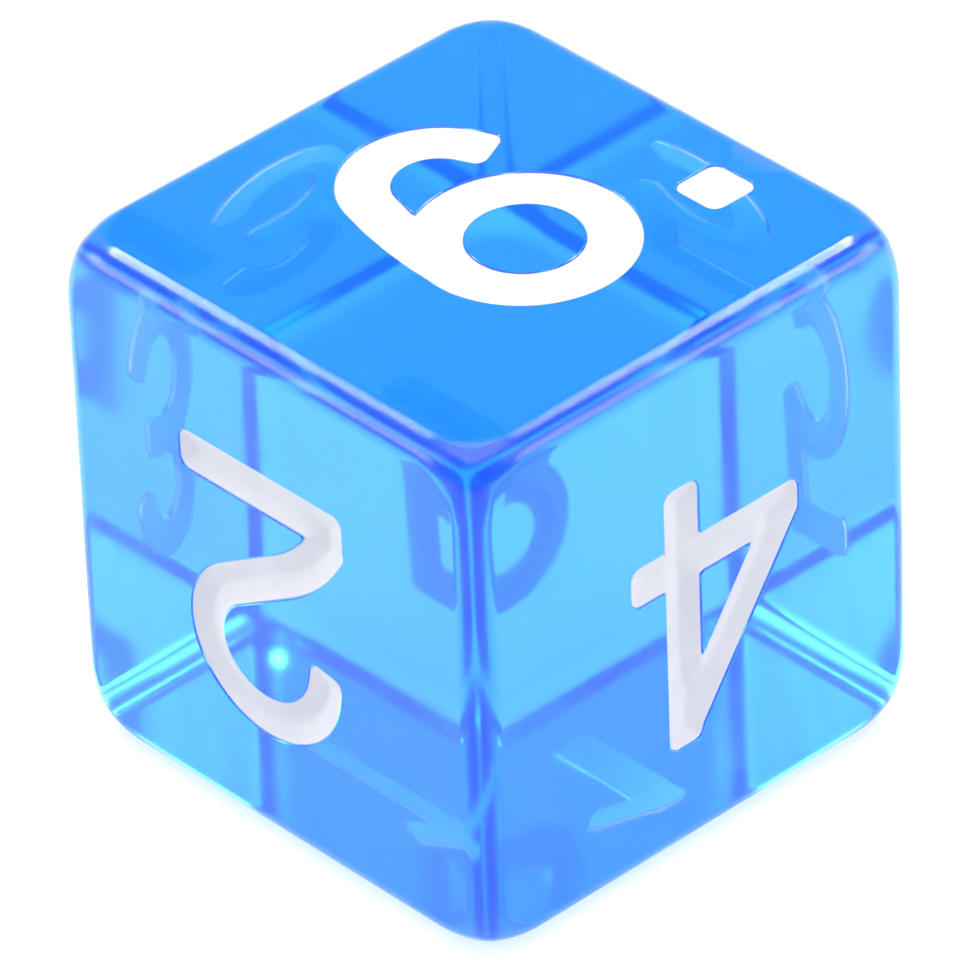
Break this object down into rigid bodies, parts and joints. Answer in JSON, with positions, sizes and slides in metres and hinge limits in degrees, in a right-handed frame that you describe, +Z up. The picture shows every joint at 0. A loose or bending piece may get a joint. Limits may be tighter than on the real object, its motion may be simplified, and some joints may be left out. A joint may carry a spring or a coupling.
{
  "type": "numeral die",
  "caption": "Six-sided die moulded in clear tinted resin, with rounded edges and an engraved, paint-filled numeral on each face.",
  "frame": {"origin": "centre of the bottom face, which is the face of the 1", "axes": "+Z up through the 6, -Y out of the 2, +Y out of the 5, +X out of the 4, -X out of the 3"},
  "size_m": [0.016, 0.016, 0.016],
  "materials": {
    "resin": "polished clear blue",
    "paint": "satin white"
  },
  "bodies": {
    "root": {"die_body": "resin", "paint_one": "paint", "paint_two": "paint", "paint_three": "paint", "paint_four": "paint", "paint_five": "paint", "paint_six": "paint", "paint_six_mark": "paint"}
  },
  "joints": []
}
